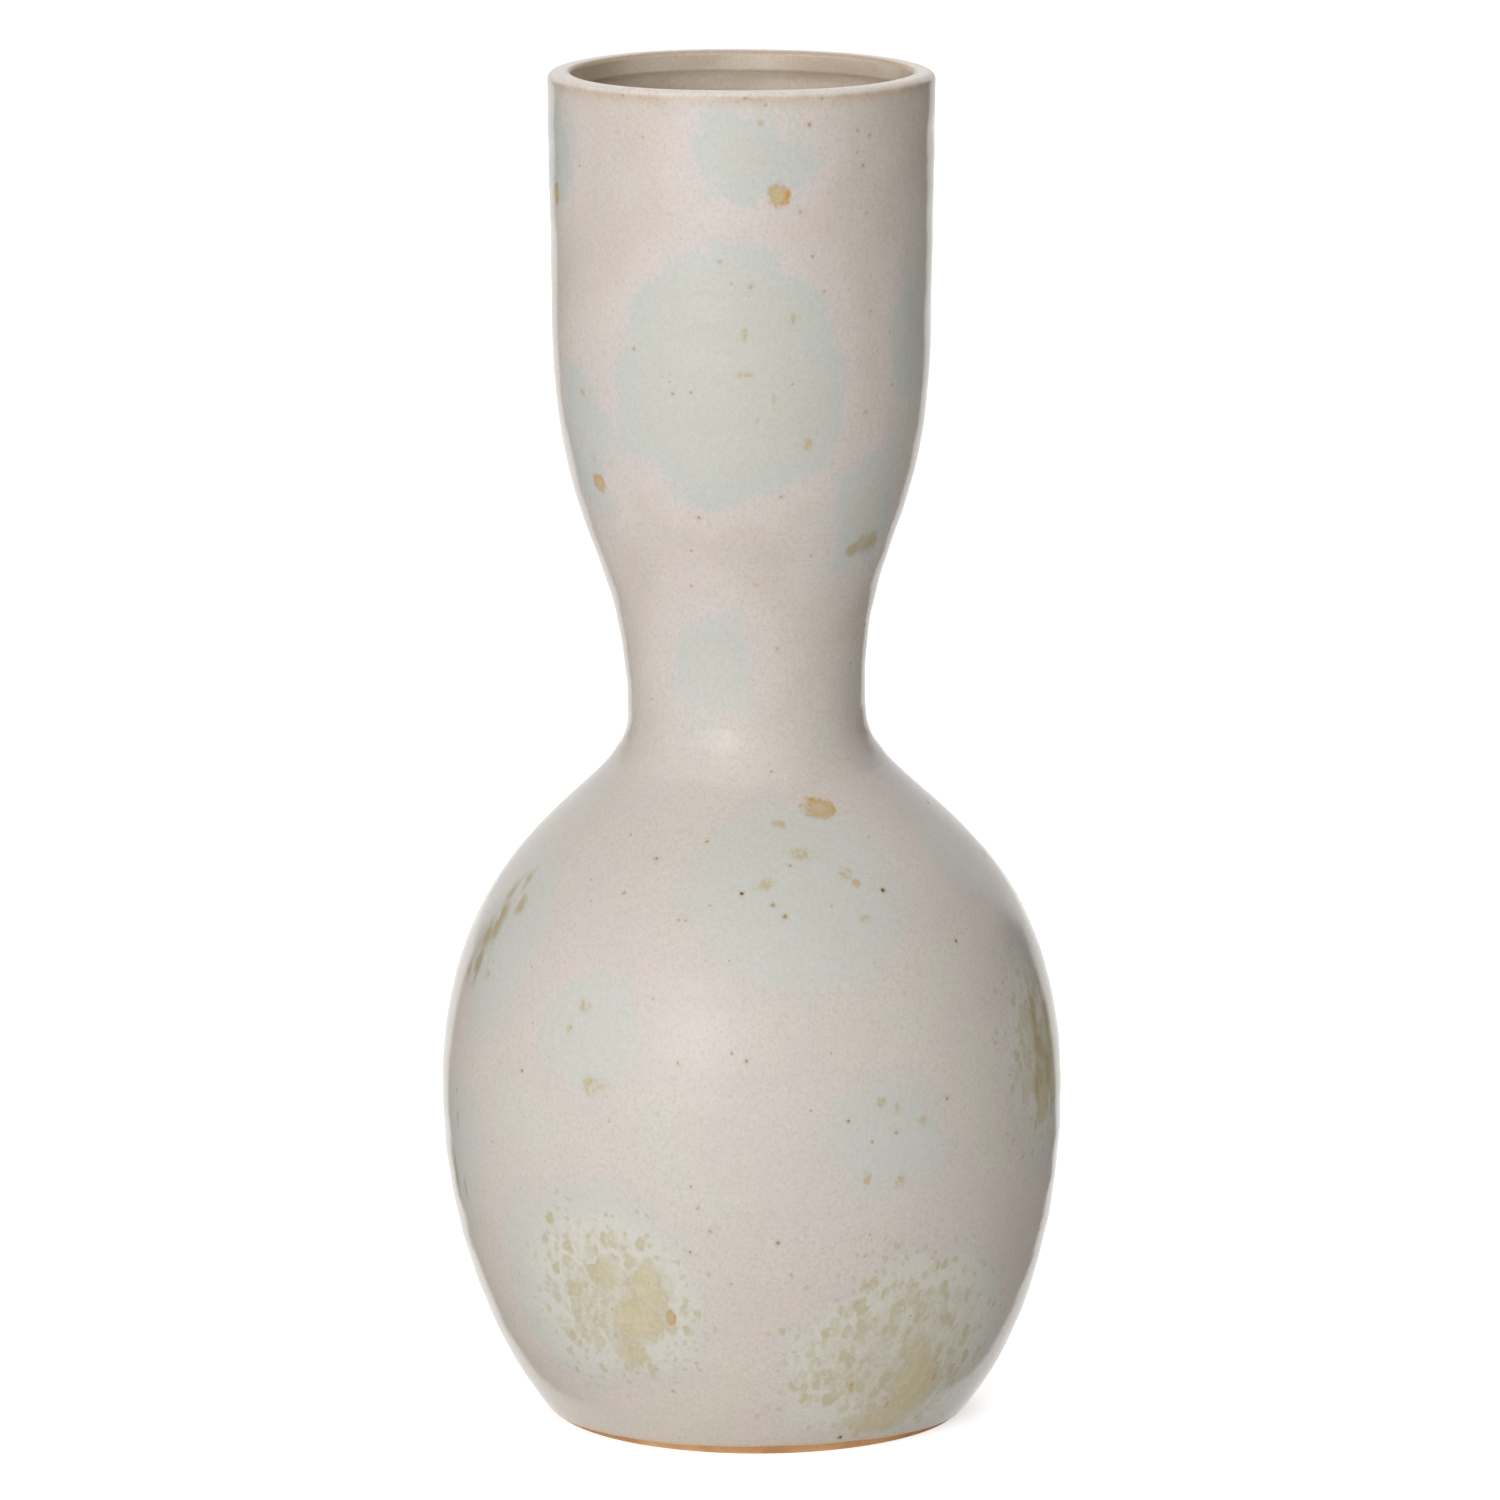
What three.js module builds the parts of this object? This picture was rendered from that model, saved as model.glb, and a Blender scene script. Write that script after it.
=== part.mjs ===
// Stoneware vase: a round belly, a narrow waist and a wide upright collar.
// It is built as a potter builds one in sections. A slab floor sits on a foot ring, the thrown belly
// stands on the slab, a coil is pressed into the corner inside, and the thrown collar is luted to the
// belly at the waist by a lap joint full of slip. An outer glaze runs from just above the foot over
// the lip, and a liner glaze covers the inside. Fired, these pieces are one vase that never comes apart.
// Millimetres, +Z up. The origin is on the table, under the middle of the belly.
import * as THREE from "three";

// Radii of the finished outside, from the table up
const FOOT_RADIUS = 48.9;
const BELLY_RADIUS = 73;
const WAIST_RADIUS = 27.8;
const COLLAR_RADIUS = 44.3;
const MOUTH_RADIUS = 45.1;

// Heights of its stretches, one on top of the other
const BELLY_RISE = 76.6; // table to the widest point
const SHOULDER_RISE = 90.7; // widest point to the waist
const FLARE_RISE = 92; // waist to where the collar turns upright
const COLLAR_RISE = 58.7; // upright collar, up to the top of the lip

// How far the outline holds its direction before it turns, at the ends of each stretch
const HEEL_OUT = 13.4;
const HEEL_UP = 14.7;
const BELLY_BELOW = 32;
const BELLY_ABOVE = 65.5;
const WAIST_BELOW = 21;
const WAIST_ABOVE = 42.5;
const COLLAR_BELOW = 52.3;

// The two glaze coats, the wall between them and the lip
const GLAZE = 0.5;
const GLAZE_LINE = 2.4; // the outer coat stops this far above the table
const WALL = 3.8;
const LIP_WIDTH = 5.3; // across the finished lip
const LIP_OUTER_ROUND = 2;
const LIP_INNER_ROUND = 1.1;
const LIP_BAND = 4.6; // height of the thicker band inside the lip
const LIP_BAND_SLOPE = 1.2; // height over which that band runs out into the wall

// Foot ring, slab floor and the coil in the corner between floor and wall
const RING_HEIGHT = 3.5; // table to the underside of the slab
const RING_WIDTH = 9;
const RING_SEAT = 1; // how deep the ring sits in the slab's rebate
const RING_BEVEL = 0.5;
const FLOOR = 6;
const FLOOR_LEDGE = 3; // thickness of the slab under the wall
const SEAM_COIL = 7; // how far the coil reaches along the floor and up the wall

// Lap joint between belly and collar
const LAP = 8;
const SLIP = 0.6;

// The sections were luted by hand, a little off the belly's axis, towards -X and +X
const COLLAR_LEAN = 2.4;
const FOOT_LEAN = 1.2;

// Fineness of the mesh
const SIDES = 36;
const HEEL_STEPS = 6;
const SHOULDER_STEPS = 10;
const FLARE_STEPS = 6;
const ROUND_STEPS = 2;
const COIL_STEPS = 3;

// Heights above the table
const WAIST = BELLY_RISE + SHOULDER_RISE;
const COLLAR = WAIST + FLARE_RISE;
const TOP = COLLAR + COLLAR_RISE;
const SEAT = RING_HEIGHT + RING_SEAT;
const LEDGE = RING_HEIGHT + FLOOR_LEDGE;
const FLOOR_TOP = RING_HEIGHT + FLOOR;
const COIL_TOP = FLOOR_TOP + SEAM_COIL;
const LAP_LOW = WAIST - LAP / 2;
const LAP_HIGH = WAIST + LAP / 2;
const BAND_END = TOP - LIP_BAND - LIP_BAND_SLOPE;

const at = (radius, height) => new THREE.Vector2(radius, height);

// One list of points from several, with each shared end kept once.
function chain(...lists) {
  return lists.flat().filter((p, i, all) => i === 0 || p.distanceTo(all[i - 1]) > 1e-6);
}

// A curved stretch between two points that leaves and arrives along its two handles.
function stretch(from, leaving, arriving, to, steps) {
  const curve = new THREE.CubicBezierCurve(from, from.clone().add(leaving), to.clone().sub(arriving), to);
  return curve.getPoints(steps);
}

// A quarter round about a centre, from one angle down to another a quarter turn before or after.
function quarter(centre, radius, from, to) {
  return new THREE.EllipseCurve(centre.x, centre.y, radius, radius, from, to, to < from).getPoints(ROUND_STEPS);
}

// The line moved sideways by a distance, to the left as it is travelled.
function inset(points, distance) {
  const left = points.slice(1).map((p, i) => {
    const along = p.clone().sub(points[i]).normalize();
    return at(-along.y, along.x);
  });
  return points.map((p, i) => {
    const before = left[Math.max(i - 1, 0)];
    const after = left[Math.min(i, left.length - 1)];
    const shift = distance / (1 + before.dot(after));
    return p.clone().addScaledVector(before, shift).addScaledVector(after, shift);
  });
}

// Radius of a rising line at a height.
function radiusAt(points, height) {
  const above = points.findIndex((p) => p.y >= height);
  const [low, high] = [points[above - 1], points[above]];
  return THREE.MathUtils.mapLinear(height, low.y, high.y, low.x, high.x);
}

// A rising line with points added at the heights where pieces meet, so that neighbours share them.
function cutAt(points, heights) {
  const added = heights.map((height) => at(radiusAt(points, height), height));
  return chain([...points, ...added].sort((a, b) => a.y - b.y));
}

// The part of a rising line between two heights that it was cut at.
function between(points, low, high) {
  return points.filter((p) => p.y >= low && p.y <= high);
}

// Finished outside: heel, belly, shoulder, flare and collar, from below the table up to the lip
const foot = at(FOOT_RADIUS, 0);
const belly = at(BELLY_RADIUS, BELLY_RISE);
const waist = at(WAIST_RADIUS, WAIST);
const collar = at(COLLAR_RADIUS, COLLAR);
const lipEdge = at(MOUTH_RADIUS, TOP - LIP_OUTER_ROUND);
const heelWay = at(HEEL_OUT, HEEL_UP);
const collarWay = lipEdge.clone().sub(collar).setLength(COLLAR_BELOW);
const belowTable = foot.clone().addScaledVector(heelWay, (-2 * (WALL + GLAZE)) / heelWay.length());
const outsideWall = chain(
  [belowTable],
  stretch(foot, heelWay, at(0, BELLY_BELOW), belly, HEEL_STEPS),
  stretch(belly, at(0, BELLY_ABOVE), at(0, WAIST_BELOW), waist, SHOULDER_STEPS),
  stretch(waist, at(0, WAIST_ABOVE), collarWay, collar, FLARE_STEPS),
  [lipEdge],
);

// The lip, as rounds about two centres, at any depth under the glaze
const lipInside = MOUTH_RADIUS - LIP_WIDTH;
const outerLipCentre = at(MOUTH_RADIUS - LIP_OUTER_ROUND, TOP - LIP_OUTER_ROUND);
const innerLipCentre = at(lipInside + LIP_INNER_ROUND, TOP - LIP_INNER_ROUND);
const lip = (depth) =>
  chain(
    quarter(outerLipCentre, LIP_OUTER_ROUND - depth, 0, Math.PI / 2),
    quarter(innerLipCentre, LIP_INNER_ROUND - depth, Math.PI / 2, Math.PI),
  );

// Faces of the clay under the two coats, cut where its pieces meet
const clayWall = cutAt(
  inset(outsideWall, GLAZE).slice(0, -1),
  [0, RING_BEVEL, GLAZE_LINE, SEAT, LEDGE, LAP_HIGH, LAP_HIGH + SLIP],
);
const clayLip = lip(GLAZE);
const clayInside = cutAt(
  inset(outsideWall, GLAZE + WALL),
  [LEDGE, FLOOR_TOP, COIL_TOP, LAP_LOW, LAP_LOW + SLIP, BAND_END],
);
const bandTop = clayLip.at(-1);
const bandLow = at(bandTop.x, TOP - LIP_BAND);

// Corner coil: a hollow curve from the floor up to the wall
const corner = at(radiusAt(clayInside, FLOOR_TOP), FLOOR_TOP);
const coilOnFloor = at(corner.x - SEAM_COIL, FLOOR_TOP);
const coilOnWall = at(radiusAt(clayInside, COIL_TOP), COIL_TOP);
const coilFace = new THREE.QuadraticBezierCurve(coilOnFloor, corner, coilOnWall).getPoints(COIL_STEPS);

// Back of the liner from the lip down to the middle of the floor
const linerBack = chain(
  [bandTop, bandLow],
  between(clayInside, COIL_TOP, BAND_END).reverse(),
  coilFace.slice().reverse(),
  [at(0, FLOOR_TOP)],
);
const linerFace = inset(linerBack, -GLAZE);

// Sideways shift of the vase's axis at a height: the belly is true, the collar and the foot are off it.
function lean(height) {
  const collarShare = THREE.MathUtils.smoothstep(height, BELLY_RISE + SHOULDER_RISE / 2, WAIST + FLARE_RISE / 2);
  const footShare = 1 - THREE.MathUtils.smoothstep(height, 0, BELLY_RISE);
  return footShare * FOOT_LEAN - collarShare * COLLAR_LEAN;
}

const stoneware = new THREE.MeshStandardMaterial({ color: 0xc2905f, roughness: 0.85, metalness: 0 });
const slipClay = new THREE.MeshStandardMaterial({ color: 0xcda678, roughness: 0.9, metalness: 0 });
const outerGlaze = new THREE.MeshStandardMaterial({ color: 0xd3cbc2, roughness: 0.4, metalness: 0 });
const linerGlaze = new THREE.MeshStandardMaterial({ color: 0xc3b8aa, roughness: 0.45, metalness: 0 });

// A piece turned from its section, which is listed anticlockwise with the axis on its left.
function turned(name, section, material) {
  const onAxis = section.at(-1).x === 0;
  const profile = onAxis ? section : [...section, section[0]];
  const geometry = new THREE.LatheGeometry(profile, SIDES);
  const place = geometry.getAttribute("position");
  for (let i = 0; i < place.count; i += 1) {
    place.setX(i, place.getX(i) + lean(place.getY(i)));
  }
  // Squares on falling edges are split along their other diagonal, so that touching faces match.
  const corners = geometry.getIndex();
  for (let i = 0; i < corners.count; i += 6) {
    const first = corners.getX(i);
    const next = corners.getX(i + 2);
    const opposite = corners.getX(i + 3);
    if (place.getY(next) < place.getY(first)) {
      corners.setX(i + 2, opposite);
      corners.setX(i + 5, first);
    }
  }
  geometry.computeVertexNormals();
  const mesh = new THREE.Mesh(geometry, material);
  mesh.name = name;
  return mesh;
}

// Foot ring, bevelled where it meets the table
const ringInside = FOOT_RADIUS - RING_WIDTH;
const footRing = turned(
  "foot_ring",
  [
    at(ringInside, RING_BEVEL),
    at(ringInside + RING_BEVEL, 0),
    at(radiusAt(clayWall, RING_BEVEL) - RING_BEVEL, 0),
    ...between(clayWall, RING_BEVEL, SEAT),
    at(ringInside, SEAT),
    at(ringInside, RING_HEIGHT),
  ],
  stoneware,
);

// Slab floor, with a rebate under its edge for the ring and a ledge on it for the wall
const ledgeInside = radiusAt(clayInside, LEDGE);
const floorSlab = turned(
  "floor_slab",
  [
    at(0, RING_HEIGHT),
    at(ringInside, RING_HEIGHT),
    at(ringInside, SEAT),
    ...between(clayWall, SEAT, LEDGE),
    at(ledgeInside, LEDGE),
    at(ledgeInside, FLOOR_TOP),
    coilOnFloor,
    at(0, FLOOR_TOP),
  ],
  stoneware,
);

// Corner coil over the joint between slab and wall
const seamCoil = turned(
  "floor_seam_coil",
  [...coilFace.slice(0, -1), ...between(clayInside, FLOOR_TOP, COIL_TOP).reverse(), at(ledgeInside, FLOOR_TOP)].reverse(),
  slipClay,
);

// Belly section, from the slab's ledge up to its socket at the waist
const lapRadius = (radiusAt(clayWall, WAIST) + radiusAt(clayInside, WAIST)) / 2;
const socket = lapRadius + SLIP / 2;
const spigot = lapRadius - SLIP / 2;
const bellySection = turned(
  "belly_section",
  [
    at(ledgeInside, LEDGE),
    ...between(clayWall, LEDGE, LAP_HIGH),
    at(socket, LAP_HIGH),
    at(socket, LAP_LOW),
    ...between(clayInside, FLOOR_TOP, LAP_LOW).reverse(),
    at(ledgeInside, FLOOR_TOP),
  ],
  stoneware,
);

// Slip that fills the lap joint
const waistSlip = turned(
  "waist_slip",
  [
    ...between(clayWall, LAP_HIGH, LAP_HIGH + SLIP),
    at(spigot, LAP_HIGH + SLIP),
    at(spigot, LAP_LOW + SLIP),
    ...between(clayInside, LAP_LOW, LAP_LOW + SLIP).reverse(),
    at(socket, LAP_LOW),
    at(socket, LAP_HIGH),
  ],
  slipClay,
);

// Collar section, from its spigot at the waist up to the lip and its inner band
const collarSection = turned(
  "collar_section",
  [
    at(spigot, LAP_LOW + SLIP),
    at(spigot, LAP_HIGH + SLIP),
    ...between(clayWall, LAP_HIGH + SLIP, TOP),
    ...clayLip,
    bandLow,
    ...between(clayInside, LAP_LOW + SLIP, BAND_END).reverse(),
  ],
  stoneware,
);

// Outer glaze, from its line above the foot to the inner edge of the lip
const glazedWall = cutAt(outsideWall.slice(0, -1), [GLAZE_LINE]);
const outerCoat = turned(
  "outer_glaze",
  [
    ...between(glazedWall, GLAZE_LINE, TOP),
    ...lip(0),
    ...[...between(clayWall, GLAZE_LINE, TOP), ...clayLip].reverse(),
  ],
  outerGlaze,
);

// Liner glaze, from the inner edge of the lip to the middle of the floor
const linerCoat = turned("liner_glaze", [at(0, FLOOR_TOP), ...linerBack.slice(0, -1).reverse(), ...linerFace], linerGlaze);

// The pieces are turned about their own Y axis, which stands up as the vase's Z axis.
const wheel = new THREE.Group();
wheel.rotation.x = Math.PI / 2;
wheel.add(footRing, floorSlab, seamCoil, bellySection, waistSlip, collarSection, outerCoat, linerCoat);

const vase = new THREE.Group();
vase.add(wheel);

export default vase;
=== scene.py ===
"""Stoneware vase: turned pieces, a satin reactive glaze, bare clay, a pale floor, soft light and a camera."""
import math

import bpy
import numpy as np
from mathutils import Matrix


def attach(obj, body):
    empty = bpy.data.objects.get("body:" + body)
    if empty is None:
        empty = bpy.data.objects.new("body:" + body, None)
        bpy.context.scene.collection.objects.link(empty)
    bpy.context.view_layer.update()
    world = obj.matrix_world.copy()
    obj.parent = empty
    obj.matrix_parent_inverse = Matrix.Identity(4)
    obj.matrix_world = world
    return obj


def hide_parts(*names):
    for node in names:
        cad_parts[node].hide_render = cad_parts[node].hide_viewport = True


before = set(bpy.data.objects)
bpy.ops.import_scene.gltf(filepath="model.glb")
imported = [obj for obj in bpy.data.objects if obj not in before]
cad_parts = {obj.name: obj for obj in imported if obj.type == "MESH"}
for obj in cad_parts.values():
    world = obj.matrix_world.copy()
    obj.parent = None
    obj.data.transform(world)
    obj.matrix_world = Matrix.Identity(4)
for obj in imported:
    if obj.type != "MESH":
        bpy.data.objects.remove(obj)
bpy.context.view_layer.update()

MM = 0.001

# Radii of the finished outside, in millimetres as all sizes of the vase below
FOOT_RADIUS = 48.9
BELLY_RADIUS = 73.0
WAIST_RADIUS = 27.8
COLLAR_RADIUS = 44.3
MOUTH_RADIUS = 45.1

# Heights above the table
BELLY = 76.6
WAIST = 167.3
COLLAR = 259.3
TOP = 318.0

# How far the outline holds its direction at the ends of each stretch, and its share below the table
HEEL_WAY = (13.4, 14.7)
BELOW_TABLE = 0.6
BELLY_BELOW = 32.0
BELLY_ABOVE = 65.5
WAIST_BELOW = 21.0
WAIST_ABOVE = 42.5
COLLAR_BELOW = 52.3

# Glaze coats, wall and lip
GLAZE = 0.5
GLAZE_LINE = 2.4
WALL = 3.8
LIP_WIDTH = 5.3
LIP_OUTER_ROUND = 2.0
LIP_INNER_ROUND = 1.1
LIP_BAND = 4.6
LIP_BAND_SLOPE = 1.2
# Dark line under the inner band, as a share down its slope and a width: partly glaze breaking brown over the
# step, partly painted shade under it
BAND_LINE_DROP = 0.2
BAND_LINE_WIDTH = 0.4

# Foot ring, slab floor, corner coil and lap joint
RING_HEIGHT = 3.5
RING_WIDTH = 9.0
RING_BEVEL = 0.5
SEAT = 4.5
LEDGE = 6.5
FLOOR_TOP = 9.5
TRIM_DEPTH = 0.06
TRIM_PITCH = 2.3
SEAM_COIL = 7.0
LAP = 8.0
SLIP = 0.6

# Lower edge of the outer coat: shares across its bead, how far they hang, and how high up the wall follows it
BEAD_SHARES = (0.35, 0.75)
BEAD_DROPS = (0.22, 0.18)
LINE_ZONE = 9.0
LINE_SLOPE = 0.9 * HEEL_WAY[0] / HEEL_WAY[1]
LINE_SINK = 0.6
LINE_STEP_AT = 0.47
LINE_STEP_WIDTH = 0.11
LINE_STEP_RISE = 0.35

# Waves round the vase, each with its lobes, depth and start
LINE_WAVES = ((3, 0.16, 0.4), (8, 0.1, 1.1), (19, 0.05, 0.0))
LIP_WAVES = ((2, 0.1, 0.6), (5, 0.07, 2.0))
LIP_SINK = 0.17
LIP_WAVE_ZONE = (TOP - 14.0, TOP - 2.0)

# The collar and the foot stand a little off the belly's axis, towards -X and +X
COLLAR_LEAN = 2.4
FOOT_LEAN = 1.2

# Fineness of the turned surfaces
FINE_SIDES = 280
HIDDEN_SIDES = 120
FINE_STEP = 1.3
LINER_STEP = 1.5
BAND_STEP = 0.25
LIP_STEP = 0.3
BARE_STEP = 0.4
TRIM_STEP = 0.45
CLAY_STEP = 0.8
COARSE_STEP = 1.0
HIDDEN_STEP = 6.0
HEEL_POINTS = 20
COLLAR_POINTS = 60
FLOOR_POINTS = 24
COIL_POINTS = 24
HIDDEN_COIL_POINTS = 14
SHARP_ANGLE = 50


def smooth(value, low, high):
    """0 below low, 1 above high, and a smooth rise between them."""
    share = np.clip((value - low) / (high - low), 0.0, 1.0)
    return share * share * (3.0 - 2.0 * share)


def stretch(start, leaving, arriving, end, count=160):
    """Points of a curved stretch: a cubic blend of its two ends and of the two ends of its handles."""
    t = np.linspace(0.0, 1.0, count)[:, None]
    s = 1.0 - t
    return s**3 * start + 3 * s * s * t * (start + leaving) + 3 * s * t * t * (end - arriving) + t**3 * end


def quarter(centre, radius, first, last, count=24):
    """Points of a round about a centre, between two angles in degrees."""
    angle = np.radians(np.linspace(first, last, count))
    return np.stack([centre[0] + radius * np.cos(angle), centre[1] + radius * np.sin(angle)], axis=1)


def inset(points, distance):
    """The line moved to its left by a distance: each point goes along the line's own normal there."""
    along = np.gradient(points, axis=0)
    along /= np.linalg.norm(along, axis=1)[:, None]
    return points + distance * np.stack([-along[:, 1], along[:, 0]], axis=1)


def length_along(points):
    """Distance from the first point of a line to each of its points, along the line."""
    steps = np.linalg.norm(np.diff(points, axis=0), axis=1)
    return np.concatenate([[0.0], np.cumsum(steps)])


def spaced(points, step):
    """The same line with its points an even step apart."""
    length = length_along(points)
    wanted = np.linspace(0.0, length[-1], max(2, int(round(length[-1] / step)) + 1))
    return np.stack([np.interp(wanted, length, points[:, axis]) for axis in (0, 1)], axis=1)


def radius_at(points, height):
    """Radius of a rising line at a height."""
    return np.interp(height, points[:, 1], points[:, 0])


def between(points, low, high, step):
    """The stretch of a rising line between two heights, with its points an even step apart."""
    heights = points[:, 1]
    middle = points[(heights > low) & (heights < high)]
    return spaced(np.vstack([(radius_at(points, low), low), middle, (radius_at(points, high), high)]), step)


# Finished outside from below the table up to the lip
foot = np.array([FOOT_RADIUS, 0.0])
belly = np.array([BELLY_RADIUS, BELLY])
waist = np.array([WAIST_RADIUS, WAIST])
collar = np.array([COLLAR_RADIUS, COLLAR])
lip_edge = np.array([MOUTH_RADIUS, TOP - LIP_OUTER_ROUND])
heel_way = np.array(HEEL_WAY)
collar_way = (lip_edge - collar) / np.linalg.norm(lip_edge - collar) * COLLAR_BELOW
outside_wall = np.vstack([
    np.linspace(foot - heel_way * BELOW_TABLE, foot, HEEL_POINTS)[:-1],
    stretch(foot, heel_way, (0, BELLY_BELOW), belly)[:-1],
    stretch(belly, (0, BELLY_ABOVE), (0, WAIST_BELOW), waist)[:-1],
    stretch(waist, (0, WAIST_ABOVE), collar_way, collar)[:-1],
    np.linspace(collar, lip_edge, COLLAR_POINTS),
])
clay_wall = inset(outside_wall, GLAZE)
clay_inside = inset(outside_wall, GLAZE + WALL)
wall_length = length_along(outside_wall)

lip_inside = MOUTH_RADIUS - LIP_WIDTH
outer_lip_centre = (MOUTH_RADIUS - LIP_OUTER_ROUND, TOP - LIP_OUTER_ROUND)
inner_lip_centre = (lip_inside + LIP_INNER_ROUND, TOP - LIP_INNER_ROUND)

# Where the glaze runs thin on the lip's outer and inner edge, how far round them, and where the lip is
# palest, its pale glaze lightened by painted light on the top that faces up
LIP_CORNERS = ((MOUTH_RADIUS - 0.2, TOP - 1.8), (lip_inside + 0.3, TOP - 0.4))
LIP_CORNER_REACH = (1.3, 0.7)
LIP_TOP_ZONE = (TOP - 1.6, TOP - 0.6)


def lip(depth):
    """The lip at a depth under the glaze: an outer round, a flat top and an inner round."""
    outer = quarter(outer_lip_centre, LIP_OUTER_ROUND - depth, 0, 90)
    inner = quarter(inner_lip_centre, LIP_INNER_ROUND - depth, 90, 180)
    return np.vstack([outer, inner])


# Hand-made form: slow ovals with lobes, depth, twist and start, finger dents, and one spiral throwing ring
OVALS = ((2, 0.07, 0.02, 0.0), (3, 0.05, -0.03, 1.0))
DENTS = 28
DENT_LOBES = (3, 13)
DENT_LENGTHS = (14.0, 46.0)
DENT_DEPTH = 0.016
THROW_PITCH = 10.5
THROW_DEPTH = 0.05
THROW_SWELL = 0.4
THROW_TWIST = 0.05
SEED = 11
draw = np.random.default_rng(SEED)
dent_lobes = draw.integers(*DENT_LOBES, DENTS)
dent_lengths = draw.uniform(*DENT_LENGTHS, DENTS)
dent_turns = draw.uniform(0.0, 2 * math.pi, (2, DENTS))

# It fades to a true round towards the axis and towards the table
TRUE_AXIS = (4.0, 20.0)
TRUE_FOOT = (0.0, 8.0)


def lean(height):
    """Sideways shift of the axis: none at the belly, to one side at the collar, to the other at the foot."""
    to_collar = smooth(height, (BELLY + WAIST) / 2, WAIST + (COLLAR - WAIST) / 2)
    to_foot = 1.0 - smooth(height, 0.0, BELLY)
    return FOOT_LEAN * to_foot - COLLAR_LEAN * to_collar


def waves(azimuth, parts):
    """Sum of sine waves round the vase, each given by its lobes, depth and start."""
    return sum(depth * np.sin(lobes * azimuth + start) for lobes, depth, start in parts)


def hand_made(azimuth, height):
    """Departure from a true round: the ovals, the dents as a sum of waves, and the ring as a spiral wave."""
    oval = sum(
        depth * np.cos(lobes * azimuth + twist * height + start)
        for lobes, depth, twist, start in OVALS
    )
    dents = np.zeros(np.broadcast(azimuth, height).shape)
    for lobes, length, turn, rise in zip(dent_lobes, dent_lengths, *dent_turns):
        dents += np.cos(lobes * azimuth + turn) * np.cos(2 * math.pi * height / length + rise)
    swell = 1.0 - THROW_SWELL + THROW_SWELL * np.cos(azimuth * 2 + height * THROW_TWIST)
    ring = THROW_DEPTH * swell * np.sin(2 * math.pi * height / THROW_PITCH - azimuth)
    return oval + DENT_DEPTH * dents + ring


def on_vase(azimuth, radius, height):
    """Place in metres of a section's point turned by an azimuth, which counts from the front to the right."""
    fade = smooth(radius, *TRUE_AXIS) * smooth(height, *TRUE_FOOT)
    out = radius + fade * hand_made(azimuth, height)
    up = height + (waves(azimuth, LIP_WAVES) - LIP_SINK) * smooth(height, *LIP_WAVE_ZONE)
    x = lean(height) + out * np.sin(azimuth)
    y = -out * np.cos(azimuth)
    return MM * np.stack(np.broadcast_arrays(x, y, up), axis=-1)


def add_object(name, data):
    """Puts a new object into the scene."""
    made = bpy.data.objects.new(name, data)
    bpy.context.scene.collection.objects.link(made)
    return made


def turned(name, section, sides, slide=None):
    """Surface of a section carried round the axis on a grid of section points by azimuths.

    A section that ends on the axis closes in a pole, and any other one closes on itself. slide, if given,
    moves the radii and heights by azimuth.
    """
    azimuth = np.linspace(0.0, 2 * math.pi, sides, endpoint=False)[None, :]
    on_axis = section[0, 0] == 0.0
    rows = section[1:-1] if on_axis else section
    radius, height = rows[:, :1], rows[:, 1:]
    if slide is not None:
        radius, height = slide(azimuth, radius, height)
    places = on_vase(azimuth, radius, height).reshape(-1, 3)
    count = len(rows)
    first = np.arange(count - 1 if on_axis else count)[:, None]
    side = np.arange(sides)[None, :]
    next_side = np.roll(side, -1)
    low = first * sides
    above = (first + 1) % count * sides
    faces = np.stack([low + side, low + next_side, above + next_side, above + side], axis=-1)
    faces = faces.reshape(-1, 4).tolist()
    if on_axis:
        poles = on_vase(np.zeros(2), section[[0, -1], 0], section[[0, -1], 1])
        bottom, top = len(places), len(places) + 1
        places = np.vstack([places, poles])
        start = side[0]
        end = start + (count - 1) * sides
        faces += np.stack([np.roll(start, -1), start, np.full(sides, bottom)], axis=1).tolist()
        faces += np.stack([end, np.roll(end, -1), np.full(sides, top)], axis=1).tolist()
    mesh = bpy.data.meshes.new(name)
    mesh.from_pydata(places.tolist(), [], faces)
    mesh.shade_smooth()
    mesh.set_sharp_from_angle(angle=math.radians(SHARP_ANGLE))
    return add_object(name, mesh)


def add_field(piece, name, values, kind="FLOAT", key="value"):
    """Stores one number, or one vector, per vertex for the finishes to read."""
    layer = piece.data.attributes.new(name, kind, "POINT")
    layer.data.foreach_set(key, np.ascontiguousarray(values, dtype=np.float32).ravel())


# Glaze marks seen on the vase: degrees round from the front to the right, height, half-width and half-height
CELADON_PATCHES = {
    "under the lip": (2, 303, 13.5, 12),
    "heart of the collar": (-4, 252.5, 28, 30),
    "left lip": (-72, 301, 7.5, 12),
    "left flare": (-59, 236, 9.5, 17),
    "right collar": (63, 260, 9, 16),
    "right flare": (47, 218, 11, 15),
    "waist": (-16, 183, 9, 14),
    "front shoulder": (12, 133, 26, 25),
    "left shoulder": (-63, 120, 14, 21),
    "left belly": (-32, 102, 13, 13),
    "left side": (-71, 68.5, 12, 15),
    "right belly": (26, 79, 14.5, 13.5),
    "right side": (68, 91, 15, 27),
    "left heel": (-33, 42, 27, 25),
    "right heel": (35, 25, 32, 27),
    "right shoulder": (67.5, 138, 9.5, 11.5),
    "back collar": (168, 262, 22, 26),
    "back lip": (-140, 300, 12, 12),
    "back flare": (115, 224, 12, 16),
    "back waist": (-152, 178, 9, 13),
    "back shoulder": (-118, 132, 20, 19),
    "back belly": (150, 110, 17, 15),
    "back left belly": (-160, 74, 14, 14),
    "back right belly": (112, 66, 13, 15),
    "back heel": (-110, 34, 26, 23),
    "back right heel": (160, 28, 24, 20),
}
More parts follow.
